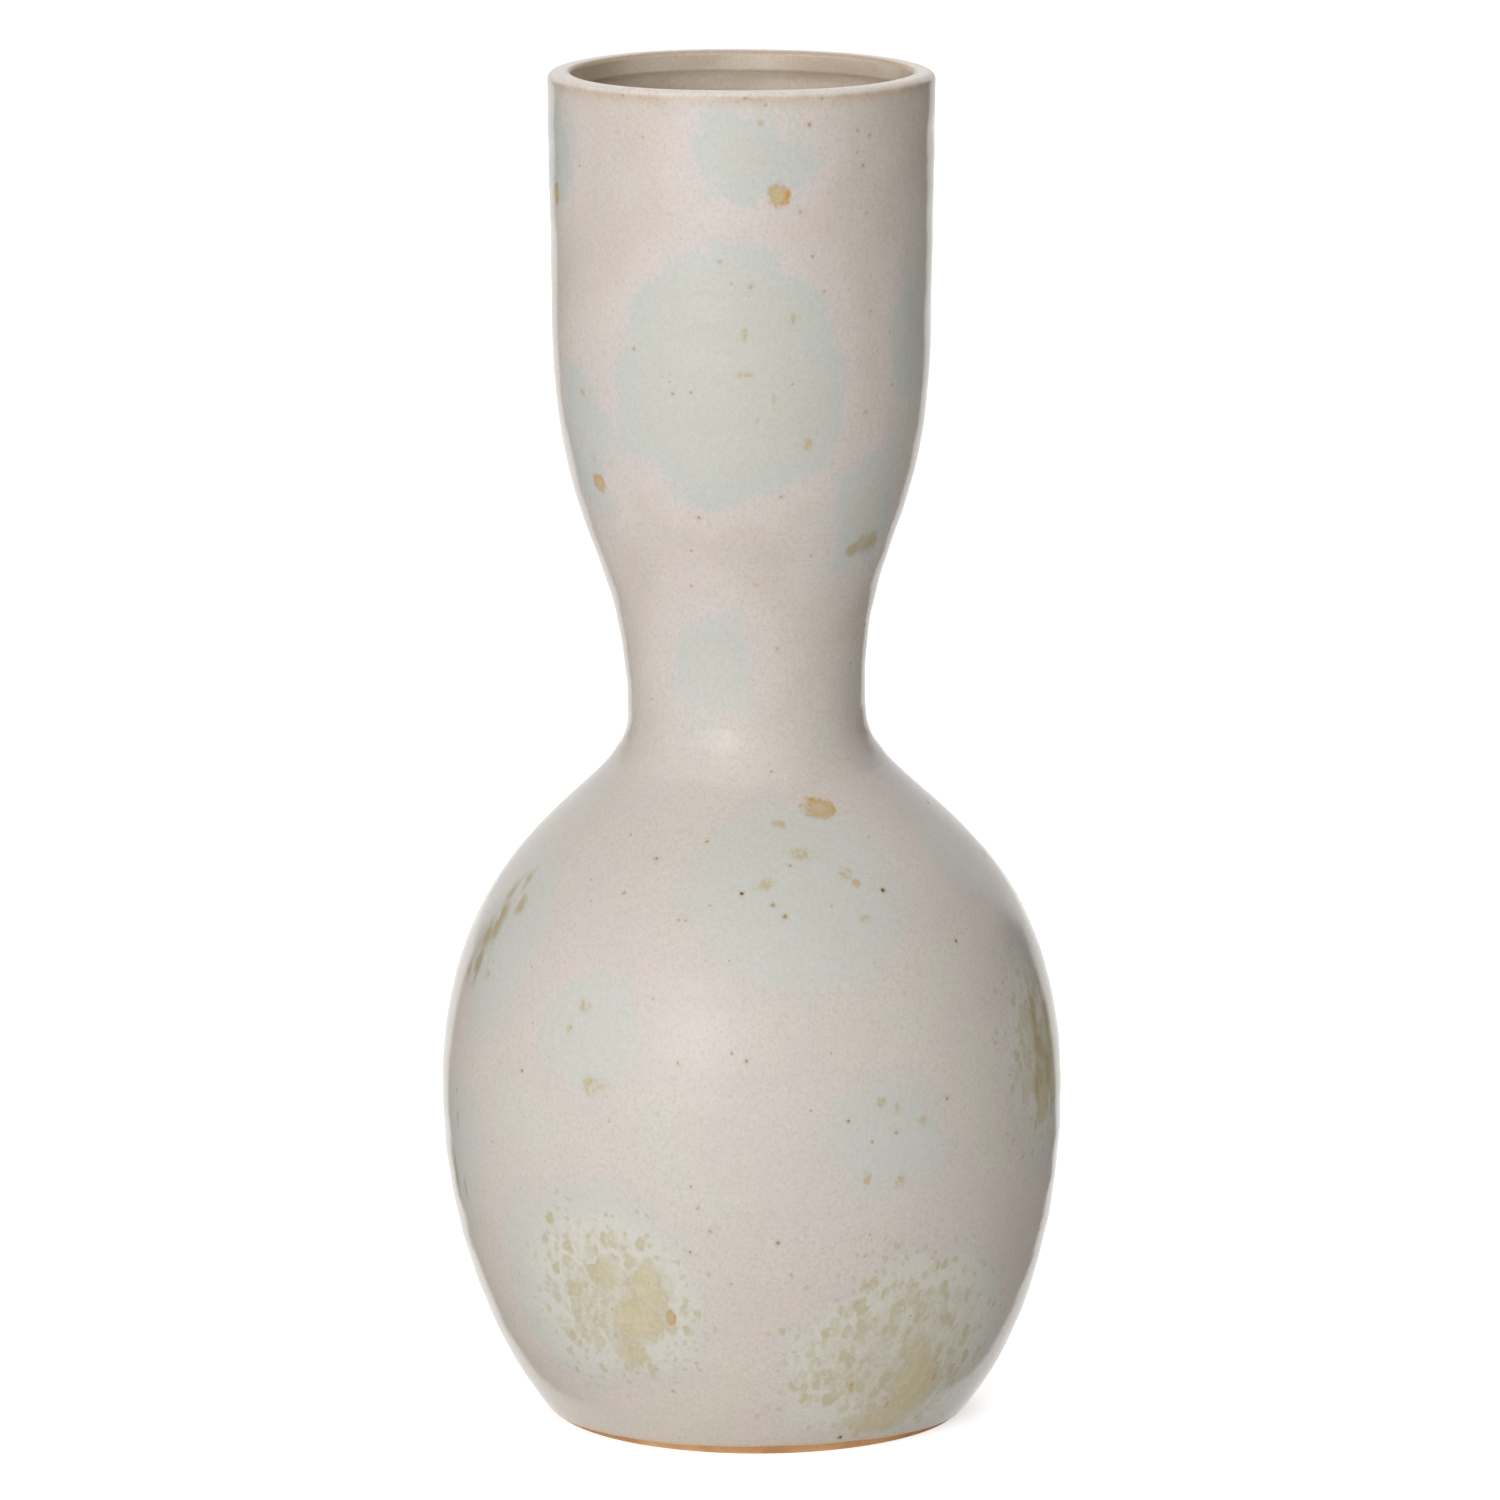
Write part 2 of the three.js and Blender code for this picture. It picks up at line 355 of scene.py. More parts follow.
OLIVE_PATCHES = {
    "left heel": (-29, 39, 21, 20),
    "right heel": (31, 25, 28, 26),
    "right side": (68, 91, 15, 19),
    "back heel": (-112, 33, 18, 17),
    "back right heel": (163, 26, 16, 14),
    "back shoulder": (-116, 132, 9, 11),
}
OLIVE_POOLS = {
    "left heel": (-20.7, 43.5, 6, 8),
    "left heel, middle": (-24, 36, 7.5, 6.5),
    "left heel, low": (-26.2, 26, 4.4, 5.5),
    "left heel, streak": (-35, 31.5, 1.8, 4.6),
    "left heel, high": (-29.5, 44, 3.2, 6),
    "right heel": (37.7, 15.7, 8.5, 10),
    "right heel, high": (36.8, 25, 4.5, 5.5),
    "right heel, low": (29.7, 7.5, 8.5, 5),
    "right side, high": (74, 107, 2.6, 4),
    "right side, tall": (67.5, 98, 3.6, 9),
    "right side, near": (62.6, 100, 2.2, 2.6),
    "right side, low dot": (58, 88, 1.8, 2.6),
    "right side, low near": (60.6, 83.4, 2.2, 4.2),
    "right side, low": (68.5, 82.5, 5.5, 9),
    "right side, far": (76, 88, 7, 13),
    "back heel": (-112, 33, 8, 7),
    "back heel, low": (-105, 25, 4, 5),
    "back heel, streak": (-119, 38, 2, 6),
    "back right heel": (163, 26, 7, 6),
    "back right heel, high": (156, 33, 3, 4),
}

# Ochre spots: as above, then the burnt side's direction in degrees up from the right, and how burnt it is
OCHRE_SPOTS = {
    "under the lip": (11, 294.5, 2.6, 3.2, -10, 1.0),
    "left flare": (-54, 224.5, 2.5, 2.3, 150, 0.4),
    "neck of the shoulder": (25, 150.5, 4.2, 3.2, 60, 0.6),
    "left lip": (-73, 290.5, 2.2, 2.6, -20, 0.8),
    "left heel": (-16.5, 36.6, 1.2, 1.9, 10, 1.0),
    "right heel": (21.3, 18, 0.55, 1.4, 60, 0.8),
    "right heel, low": (31.7, 12, 0.6, 1.1, 120, 0.7),
    "right heel, far": (43.4, 17.2, 0.5, 1.2, 0, 0.7),
    "right shoulder": (84, 134, 2.2, 1.2, 0, 0.7),
    "back collar": (160, 250, 2.8, 2.6, 110, 0.6),
    "back shoulder": (-125, 140, 3.4, 2.4, 50, 0.9),
    "back belly": (154, 102, 2.6, 2.0, -40, 0.4),
    "back heel": (-104, 28, 1.5, 2.2, 170, 0.7),
}

# Faint stains, listed as the patches are
STAINS = {
    "collar, middle": (1.6, 253, 2.2, 1.2),
    "collar, right": (9.8, 246.6, 1.0, 2.2),
    "collar, low right": (20.9, 236.4, 1.4, 1.2),
    "collar, high right": (15.4, 265.3, 0.9, 1.8),
    "collar, high": (0.7, 262, 0.8, 2.2),
    "collar, low": (4.7, 242.5, 0.6, 1.8),
    "collar, far left": (-57.6, 246, 1.2, 1.0),
    "collar, far low left": (-54.5, 231, 0.8, 2.4),
    "lip": (5.4, 311, 1.0, 1.0),
    "shoulder, high": (10.2, 147.7, 2.2, 1.4),
    "shoulder, left": (3.4, 136.2, 3.0, 1.8),
    "shoulder, middle": (15.6, 141.5, 2.8, 2.0),
    "shoulder, right": (24.6, 137.4, 2.4, 1.8),
    "shoulder, farther right": (27.2, 135.2, 1.6, 1.2),
    "shoulder, low right": (26.6, 127.9, 1.4, 1.0),
    "belly, left": (-34.2, 108.2, 2.0, 2.0),
    "belly, by the left": (-36.7, 102.8, 1.0, 1.6),
    "belly, low left": (-30.2, 91.3, 4.2, 3.0),
    "belly, high right": (24.4, 88.1, 1.4, 1.2),
    "belly, right": (27.4, 85.6, 1.2, 1.6),
    "belly, far right": (33.1, 82.6, 1.3, 1.2),
    "belly, low right": (21, 70.5, 1.0, 1.8),
    "belly, lower right": (27.3, 69.7, 2.2, 1.8),
    "heel, left": (-40.5, 58.3, 1.3, 1.4),
    "heel, low left": (-36, 18.5, 1.0, 0.9),
    "heel, lower left": (-43, 19.2, 1.1, 1.0),
    "back collar": (172, 266, 2.4, 1.6),
    "back belly": (146, 114, 2.6, 2.0),
    "back shoulder": (-112, 128, 2.4, 1.8),
}

# Darker strokes, listed the same way
STROKES = {
    "left shoulder, high": (-66.5, 131.5, 1.3, 2.2),
    "left shoulder, dot": (-62.9, 126.1, 1.7, 2.0),
    "left shoulder, upper": (-70.2, 126.5, 1.7, 5.2),
    "left shoulder, middle": (-68.2, 121.8, 1.6, 4.6),
    "left shoulder, low": (-71.2, 116.6, 2.4, 5.4),
    "left shoulder, foot": (-69.8, 111.3, 1.3, 4.0),
    "left shoulder, by the foot": (-64.3, 110.3, 1.0, 1.2),
    "left shoulder, far foot": (-74.5, 108.5, 1.1, 2.4),
    "left side, high": (-70.3, 74.9, 0.9, 1.6),
    "left side, far": (-74.3, 60.5, 1.0, 3.6),
    "left side, low": (-69, 58.6, 0.8, 2.6),
    "right flare": (53.5, 210.2, 2.8, 2.2),
    "right flare, tail": (46.5, 209.2, 2.4, 1.3),
    "right side, tall": (68, 98.5, 1.4, 6.5),
    "right side, middle": (69, 91, 2.6, 7.0),
    "right side, far": (75, 97, 1.8, 8.0),
    "right side, low": (72.5, 84, 2.2, 8.5),
    "right side, near": (66, 83, 1.3, 4.4),
}

# Specks seen in the glaze: degrees, height, radius, and how dark each is
SPECKS = {
    "lip, left": (-37, 316.5, 0.4, 0.6),
    "lip, front": (1, 316.8, 0.5, 0.9),
    "lip, right": (24, 316.3, 0.4, 0.55),
    "lip, under the front": (7, 315, 0.4, 0.45),
    "collar, under the lip": (20, 310.3, 0.5, 0.6),
    "collar, high right": (36, 308.3, 0.45, 0.35),
    "collar, high far right": (40.5, 307, 0.4, 0.4),
    "collar, high left": (-30, 307, 0.4, 0.4),
    "collar, right": (38, 300, 0.42, 0.7),
    "collar, by the right": (36, 303.3, 0.4, 0.4),
    "collar, far left": (-56, 298.7, 0.4, 0.35),
    "collar, below the ochre spot": (17.5, 290.3, 0.5, 0.4),
    "collar, middle right": (39.5, 289, 0.4, 0.35),
    "collar, top of the heart": (-6.5, 279, 0.55, 0.3),
    "collar, in the heart": (2.6, 273.4, 0.6, 0.35),
    "collar, right of the heart": (25, 271.8, 0.45, 0.35),
    "collar, left of the heart": (-34, 258, 0.45, 0.5),
    "collar, low in the heart": (-21, 248.2, 0.42, 0.5),
    "collar, low right": (41, 242.8, 0.36, 0.65),
    "flare, left": (-14.6, 219, 0.42, 0.7),
    "flare, middle": (13, 224, 0.4, 0.5),
    "waist, middle": (5.7, 202.5, 0.45, 0.35),
    "waist, right": (15.4, 186.7, 0.45, 0.4),
    "shoulder, top": (-13, 144.2, 0.45, 0.6),
    "shoulder, left": (-26.5, 140.3, 0.42, 0.8),
    "shoulder, far left": (-32, 132.8, 0.4, 0.6),
    "shoulder, front": (-2.4, 134.2, 0.45, 1.0),
    "shoulder, by the front": (5, 131.9, 0.45, 0.7),
    "shoulder, low": (7.5, 129.5, 0.55, 0.75),
    "shoulder, low left": (-16.7, 128.5, 0.36, 0.5),
    "shoulder, by the low left": (-15, 128.4, 0.36, 0.5),
    "shoulder, right": (33.4, 133.3, 0.55, 1.0),
    "shoulder, far right": (48, 120.6, 0.42, 0.9),
    "shoulder, middle": (10.5, 139.6, 0.4, 0.5),
    "belly, high left": (-19.7, 111.5, 0.45, 0.35),
    "belly, left": (-13.8, 97.6, 0.4, 0.6),
    "belly, middle": (-1, 98.6, 0.4, 0.75),
    "belly, by the middle": (-3.7, 100.2, 0.3, 0.4),
    "belly, far left": (-47.4, 91.5, 0.36, 0.8),
    "belly, right": (17.6, 84.1, 0.4, 0.8),
    "belly, far right": (38.3, 86.6, 0.4, 0.7),
    "belly, in the right patch": (27, 80.4, 0.45, 0.6),
    "heel, left": (-10, 64, 0.4, 0.45),
    "heel, by the left": (-7.8, 58.6, 0.42, 0.6),
    "heel, below the left": (-11.7, 53.3, 0.4, 0.7),
    "heel, front": (4.6, 55.9, 0.42, 0.8),
    "heel, low front": (-4.3, 45.8, 0.4, 0.4),
    "heel, right": (7, 48, 0.4, 0.4),
    "foot": (21.7, 3.9, 0.5, 1.0),
}

# Such marks scattered by chance over the back: how many, and the least and most of their numbers
BACK_STAINS = 3
BACK_STAIN_RANGE = ([-0.5, -0.5, 0.8, 0.8], [0.5, 0.5, 2.2, 2.0])
BACK_SPECKS = 44
BACK_SPECK_RANGE = ([70, 10, 0.34, 0.35], [290, 312, 0.5, 0.9])
for name, (turn, level, half_width, half_height) in CELADON_PATCHES.items():
    if name.startswith("back"):
        for number in range(BACK_STAINS):
            aside, above, *half_sizes = draw.uniform(*BACK_STAIN_RANGE)
            middle = (turn + aside * half_width, level + above * half_height)
            STAINS[f"{name}, {number}"] = (*middle, *half_sizes)
for number in range(BACK_SPECKS):
    SPECKS[f"back, {number}"] = tuple(draw.uniform(*BACK_SPECK_RANGE))

# How far a mark still counts outside its edge, the gap between marks of one layer, and how strong marks are
MARK_REACH = 2.4
MARK_GAP = 2 * (MARK_REACH + FINE_STEP)
FAR_OUTSIDE = -30.0
LIP_STRETCH = 1.3
STAIN_STRENGTH = 0.8
STROKE_STRENGTH = 0.85


def path_at(height):
    """Distance along the outside wall at a height, and on over the lip."""
    over = np.maximum(height - outside_wall[-1, 1], 0.0) * LIP_STRETCH
    return np.interp(height, outside_wall[:, 1], wall_length) + over


def from_mark(mark, azimuth, radius, height):
    """Each point's place from an oval mark's middle, in half-sizes to the right and up, and its depth inside.

    The depth is one minus the distance from the middle in half-sizes, times the smaller half-size.
    """
    turn, middle, half_width, half_height = mark[:4]
    right = np.angle(np.exp(1j * (azimuth - math.radians(turn)))) * radius / half_width
    up = np.broadcast_to((path_at(height) - path_at(middle)) / half_height, right.shape)
    return right, up, (1.0 - np.hypot(right, up)) * min(half_width, half_height)


def reach(marks, azimuth, radius, height):
    """How far a point lies inside the nearest of some marks, in millimetres, and below zero outside."""
    depths = [from_mark(mark, azimuth, radius, height)[2] for mark in marks.values()]
    return np.maximum(np.max(depths, axis=0), FAR_OUTSIDE)


def apart(mark, other):
    """Distance between the edges of two marks."""
    turn = math.radians((mark[0] - other[0] + 180) % 360 - 180)
    across = turn * radius_at(outside_wall, (mark[1] + other[1]) / 2)
    return math.hypot(across, path_at(mark[1]) - path_at(other[1])) - max(mark[2:4]) - max(other[2:4])


def mark_layers(marks):
    """Marks shared out into layers whose marks lie well apart: each goes into the first with room for it."""
    layers = []
    for mark in marks:
        roomy = [layer for layer in layers if all(apart(mark, other) > MARK_GAP for other in layer)]
        if roomy:
            roomy[0].append(mark)
        else:
            layers.append([mark])
    return layers


def mark_places(layer, azimuth, radius, height):
    """Place of each point in the mark that it lies deepest in, or least far from.

    The three numbers are half-sizes from the mark's middle towards its burnt side, half-sizes square to that,
    and the mark's strength, which fades to none at a short reach outside it.
    """
    shape = np.broadcast(azimuth, radius).shape
    best = np.full(shape, -np.inf)
    found = np.zeros(shape + (3,))
    for mark in layer:
        right, up, inside = from_mark(mark, azimuth, radius, height)
        burnt_side, strength = mark[4:]
        spin = math.radians(burnt_side)
        towards = right * math.cos(spin) + up * math.sin(spin)
        beside = up * math.cos(spin) - right * math.sin(spin)
        faded = strength * smooth(inside, -MARK_REACH, -MARK_REACH / 2)
        found = np.where((inside > best)[..., None], np.stack([towards, beside, faded], axis=-1), found)
        best = np.maximum(best, inside)
    return found


MARK_LAYERS = {
    "ochre": mark_layers([(*spot, 0.5 + burnt / 2) for *spot, burnt in OCHRE_SPOTS.values()]),
    "stain": mark_layers([(*stain, 0, STAIN_STRENGTH) for stain in STAINS.values()]),
    "stroke": mark_layers([(*stroke, 0, STROKE_STRENGTH) for stroke in STROKES.values()]),
    "speck": mark_layers([(turn, level, size, size, 0, dark) for turn, level, size, dark in SPECKS.values()]),
}


def glaze_line(azimuth):
    """Height of the outer coat's lower edge: waves, a sink on both sides and a small step at the right."""
    sunk = LINE_SINK * (np.cos(2 * azimuth) - 1.0)
    step = LINE_STEP_RISE * np.exp(-(((azimuth - LINE_STEP_AT) / LINE_STEP_WIDTH) ** 2))
    return waves(azimuth, LINE_WAVES) + sunk + step


def make_outer_glaze():
    """Outer coat: a face from the glaze line over the lip, a rounded lower edge, and a back on the clay."""
    face = between(outside_wall, GLAZE_LINE, TOP - LIP_OUTER_ROUND, FINE_STEP)
    crest = spaced(lip(0.0), LIP_STEP)
    on_clay = between(clay_wall, GLAZE_LINE, TOP - LIP_OUTER_ROUND, HIDDEN_STEP * 2)
    back = np.vstack([on_clay, spaced(lip(GLAZE), COARSE_STEP)])
    start, end = back[0], face[0]
    bead = start + (end - start) * np.array(BEAD_SHARES)[:, None]
    bead[:, 1] -= np.array(BEAD_DROPS)
    section = np.vstack([bead, face, crest[1:], back[::-1]])
    lowest = smooth(-section[:, 1:], -GLAZE_LINE - LINE_ZONE, -GLAZE_LINE)

    def follow_line(azimuth, radius, height):
        """Heights near the lower edge move with the glaze line, and radii with the heel's slope."""
        lift = lowest * glaze_line(azimuth)
        return radius + lift * LINE_SLOPE, height + lift

    piece = turned("outer_glaze_coat", section, FINE_SIDES, follow_line)
    azimuth = np.linspace(0.0, 2 * math.pi, FINE_SIDES, endpoint=False)[None, :]
    radius, height = section[:, :1], section[:, 1:]
    whole = np.ones_like(azimuth)
    for name, marks in (("celadon", CELADON_PATCHES), ("olive", OLIVE_PATCHES), ("olive_pool", OLIVE_POOLS)):
        add_field(piece, name, reach(marks, azimuth, radius, height))
    for kind, layers in MARK_LAYERS.items():
        for number, layer in enumerate(layers):
            places = mark_places(layer, azimuth, radius, height)
            add_field(piece, f"{kind}_{number}", places, "FLOAT_VECTOR", "vector")
    gaps = np.linalg.norm(section[:, None, :] - np.array(LIP_CORNERS)[None], axis=2)
    near = np.exp(-((gaps / np.array(LIP_CORNER_REACH)) ** 2))
    add_field(piece, "lip_top", smooth(height, *LIP_TOP_ZONE) * whole)
    add_field(piece, "outer_edge", near[:, :1] * whole)
    add_field(piece, "inner_edge", near[:, 1:] * whole)
    add_field(piece, "above_line", (height - GLAZE_LINE) * whole)
    return piece


def coil_curve(count):
    """Hollow curve of the corner coil, from the floor up to the wall."""
    corner = np.array([radius_at(clay_inside, FLOOR_TOP), FLOOR_TOP])
    low = np.array([corner[0] - SEAM_COIL, FLOOR_TOP])
    high = np.array([radius_at(clay_inside, FLOOR_TOP + SEAM_COIL), FLOOR_TOP + SEAM_COIL])
    return stretch(low, (corner - low) * 2 / 3, (high - corner) * 2 / 3, high, count)


def make_liner_glaze():
    """Liner: a face from the inner lip edge down the wall and round the corner to the floor, and a back."""
    coil = coil_curve(COIL_POINTS)
    band_top = lip(GLAZE)[-1:]
    band = np.vstack([band_top, (band_top[0, 0], TOP - LIP_BAND)])
    wall = between(clay_inside, FLOOR_TOP + SEAM_COIL, TOP - LIP_BAND - LIP_BAND_SLOPE, LINER_STEP)
    rim = spaced(np.vstack([wall[-1:], band[::-1]]), BAND_STEP)
    floor = np.linspace([0.0, FLOOR_TOP], coil[0], FLOOR_POINTS)
    back = np.vstack([floor, coil[1:], wall[1:], rim[1:]])
    face = inset(back, GLAZE)
    face[:, 0] = np.maximum(face[:, 0], 0.0)
    face[0, 0] = 0.0
    face[-1] = lip(0.0)[-1]
    section = np.vstack([back, face[::-1]])
    sides = FINE_SIDES // 2
    piece = turned("liner_glaze_coat", section, sides)
    # Painted shade along the step under the inner band, partly also glaze breaking brown there
    above_edge = section[1:-1, 1] - (TOP - LIP_BAND - LIP_BAND_SLOPE * BAND_LINE_DROP)
    band_edge_shade = np.exp(-((above_edge / BAND_LINE_WIDTH) ** 2))
    add_field(piece, "band_edge_shade", np.append(np.repeat(band_edge_shade, sides), [0.0, 0.0]))
    return piece


def make_foot_ring():
    """Bare ring: bevelled bottom edges, an outer face in line with the heel, and a seat under the slab."""
    inner = FOOT_RADIUS - RING_WIDTH
    low_inner = inner + RING_BEVEL
    low_outer = radius_at(clay_wall, RING_BEVEL) - RING_BEVEL
    seat = np.vstack([(radius_at(clay_wall, SEAT), SEAT), (inner, SEAT), (inner, RING_BEVEL)])
    section = np.vstack([
        quarter((low_inner, RING_BEVEL), RING_BEVEL, 180, 270, 5),
        spaced(np.vstack([(low_inner, 0.0), (low_outer, 0.0)]), CLAY_STEP)[1:],
        quarter((low_outer, RING_BEVEL), RING_BEVEL, 280, 320, 4),
        between(clay_wall, RING_BEVEL, SEAT, BARE_STEP),
        spaced(seat, COARSE_STEP)[1:-1],
    ])
    return turned("foot_ring_bare", section, FINE_SIDES)


def make_floor_slab():
    """Slab: an underside with shallow trimming rings, a rebate for the ring and a ledge for the wall."""
    inner = FOOT_RADIUS - RING_WIDTH
    ledge = radius_at(clay_inside, LEDGE)
    under = spaced(np.vstack([(0.0, RING_HEIGHT), (inner, RING_HEIGHT)]), TRIM_STEP)
    under[1:-1, 1] += TRIM_DEPTH * np.sin(under[1:-1, 0] * 2 * math.pi / TRIM_PITCH)
    section = np.vstack([
        under,
        (inner, SEAT),
        between(clay_wall, SEAT, LEDGE, COARSE_STEP),
        (ledge, LEDGE),
        (ledge, FLOOR_TOP),
        (0.0, FLOOR_TOP),
    ])
    return turned("floor_slab_turned", section, HIDDEN_SIDES)


def make_floor_seam_coil():
    """Coil: a hollow curve from floor to wall, and the corner behind it."""
    wall = between(clay_inside, FLOOR_TOP, FLOOR_TOP + SEAM_COIL, LINER_STEP)
    curve = coil_curve(HIDDEN_COIL_POINTS)
    return turned("floor_seam_coil_pressed", np.vstack([wall, curve[::-1][1:]]), HIDDEN_SIDES)


lap_low = WAIST - LAP / 2
lap_high = WAIST + LAP / 2
lap_radius = (radius_at(clay_wall, WAIST) + radius_at(clay_inside, WAIST)) / 2
socket = lap_radius + SLIP / 2
spigot = lap_radius - SLIP / 2


def make_belly_section():
    """Lower thrown wall, from the slab's ledge to the socket at the waist."""
    ledge = radius_at(clay_inside, LEDGE)
    section = np.vstack([
        (ledge, LEDGE),
        between(clay_wall, LEDGE, lap_high, HIDDEN_STEP / 2),
        (socket, lap_high),
        (socket, lap_low),
        between(clay_inside, FLOOR_TOP, lap_low, HIDDEN_STEP / 2)[::-1],
        (ledge, FLOOR_TOP),
    ])
    return turned("belly_section_thrown", section, HIDDEN_SIDES)


def make_waist_slip():
    """Slip in the lap joint: a thin step between socket and spigot."""
    section = np.vstack([
        between(clay_wall, lap_high, lap_high + SLIP, SLIP),
        (spigot, lap_high + SLIP),
        (spigot, lap_low + SLIP),
        between(clay_inside, lap_low, lap_low + SLIP, SLIP)[::-1],
        (socket, lap_low),
        (socket, lap_high),
    ])
    return turned("waist_slip_luted", section, HIDDEN_SIDES)


def make_collar_section():
    """Upper thrown wall, from the spigot at the waist to the lip and its inner band."""
    lip_clay = spaced(lip(GLAZE), CLAY_STEP)
    section = np.vstack([
        (spigot, lap_low + SLIP),
        (spigot, lap_high + SLIP),
        between(clay_wall, lap_high + SLIP, TOP - LIP_OUTER_ROUND, HIDDEN_STEP / 2),
        lip_clay[1:],
        (lip_clay[-1, 0], TOP - LIP_BAND),
        between(clay_inside, lap_low + SLIP, TOP - LIP_BAND - LIP_BAND_SLOPE, HIDDEN_STEP / 2)[::-1],
    ])
    return turned("collar_section_thrown", section, HIDDEN_SIDES)


class Quantity:
    """A number, colour or vector that varies over a surface. Arithmetic on a number adds Math nodes."""

    def __init__(self, finish, socket):
        self.finish = finish
        self.socket = socket

    def other(self, output):
        """Another output of the same node."""
        return Quantity(self.finish, self.socket.node.outputs[output])

    def __add__(self, more):
        return self.finish.maths("ADD", self, more)

    def __sub__(self, less):
        return self.finish.maths("SUBTRACT", self, less)

    def __rsub__(self, whole):
        return self.finish.maths("SUBTRACT", whole, self)

    def __mul__(self, times):
        return self.finish.maths("MULTIPLY", self, times)


class Finish:
    """A node tree under construction, for a material or for the world."""

    def __init__(self, tree):
        self.tree = tree
        tree.nodes.clear()

    def node(self, kind, settings, inputs, output=0):
        """Adds a node: its settings first, then a value or a link for each named or numbered socket."""
        made = self.tree.nodes.new(kind)
        for key, value in settings.items():
            setattr(made, key, value)
        for key, value in inputs.items():
            if isinstance(value, Quantity):
                self.tree.links.new(value.socket, made.inputs[key])
            else:
                made.inputs[key].default_value = value
        return Quantity(self, made.outputs[output]) if made.outputs else made

    def maths(self, operation, first, second):
        return self.node("ShaderNodeMath", {"operation": operation}, {0: first, 1: second})

    def vectors(self, operation, inputs, output=0):
        return self.node("ShaderNodeVectorMath", {"operation": operation}, inputs, output)

    def greater(self, first, second):
        return self.maths("MAXIMUM", first, second)

    def lesser(self, first, second):
        return self.maths("MINIMUM", first, second)

    def place(self):
        """Object coordinates, in metres."""
        return self.node("ShaderNodeTexCoord", {}, {}, "Object")

    def field(self, name, output="Fac"):
        """The number, or the vector, stored on the piece's vertices under a name."""
        return self.node("ShaderNodeAttribute", {"attribute_name": name}, {}, output)

    def layers(self, kind):
        """The stored places in each layer of a kind of mark."""
        return [self.field(f"{kind}_{number}", "Vector") for number in range(len(MARK_LAYERS[kind]))]

    def from_middle(self, places, right=0.0):
        """Distance in a mark from its middle, or from a point right of it, in its half-sizes."""
        flat = self.vectors("MULTIPLY_ADD", {0: places, 1: (1.0, 1.0, 0.0), 2: (-right, 0.0, 0.0)})
        return self.vectors("LENGTH", {0: flat}, "Value")

    def part(self, vector, axis):
        """One of the three numbers of a vector."""
        return self.node("ShaderNodeSeparateXYZ", {}, {0: vector}, axis)

    def ease(self, value, low, high, first=0.0, last=1.0):
        """A smooth step from one value to another."""
        inputs = {"Value": value, "From Min": low, "From Max": high, "To Min": first, "To Max": last}
        return self.node("ShaderNodeMapRange", {"interpolation_type": "SMOOTHSTEP"}, inputs)

    def noise(self, place, size, detail=2.0, output=0):
        """Cloudy noise whose lumps are about a size in millimetres."""
        inputs = {"Vector": place, "Scale": 1.0 / (size * MM), "Detail": detail}
        return self.node("ShaderNodeTexNoise", {}, inputs, output)

    def cells(self, place, size):
        """Distance to the middle of the nearest random cell, in cell sizes."""
        return self.node("ShaderNodeTexVoronoi", {}, {"Vector": place, "Scale": 1.0 / (size * MM)})

    def chance(self, cells):
        """One random number for each cell."""
        return self.node("ShaderNodeSeparateColor", {}, {0: cells.other("Color")})

    def warped(self, place, size, amount):
        """The place shifted by noise, up to an amount in millimetres."""
        push = (amount * MM,) * 3
        shift = self.noise(place, size, 2.0, "Color")
        return self.vectors("MULTIPLY_ADD", {0: shift, 1: push, 2: place})

    def squeezed(self, place, factors):
        """The place scaled along each axis."""
        return self.vectors("MULTIPLY", {0: place, 1: factors})

    def blend(self, share, first, second):
        """The first colour turning into the second as the share goes from 0 to 1."""
        return self.node("ShaderNodeMix", {"data_type": "RGBA"}, {0: share, 6: first, 7: second}, 2)

    def shaded(self, colour, amount):
        """A colour made darker or lighter by an amount."""
        return self.vectors("SCALE", {0: colour, "Scale": amount})

    def bump(self, height, depth):
        """A normal that follows a height of 0 to 1 over a depth in millimetres."""
        return self.node("ShaderNodeBump", {}, {"Height": height, "Distance": depth * MM, "Strength": 1.0})

    def rays(self):
        """Whether a point is seen straight by the camera, and whether it is seen mirrored."""
        straight = self.node("ShaderNodeLightPath", {}, {}, "Is Camera Ray")
        return straight, self.greater(straight.other("Is Glossy Ray"), straight.other("Is Transmission Ray"))

    def surface(self, inputs):
        """Closes the finish with a principled surface."""
        body = self.node("ShaderNodeBsdfPrincipled", {}, inputs)
        self.node("ShaderNodeOutputMaterial", {}, {"Surface": body})


def swing(*parts):
    """Sum of some noises, each taken about its middle and times an amount."""
    first, *others = [(noise - 0.5) * amount for noise, amount in parts]
    return sum(others, first)


def new_finish(name):
    """A material with an empty node tree, and the finish that fills it."""
    material = bpy.data.materials.new(name)
    material.use_nodes = True
    return material, Finish(material.node_tree)


def colour(red, green, blue):
    """A colour as it shows on screen, turned into light."""
    screen = np.array([red, green, blue]) / 255.0
    light = np.where(screen <= 0.04045, screen / 12.92, ((screen + 0.055) / 1.055) ** 2.4)
    return (*light.tolist(), 1.0)


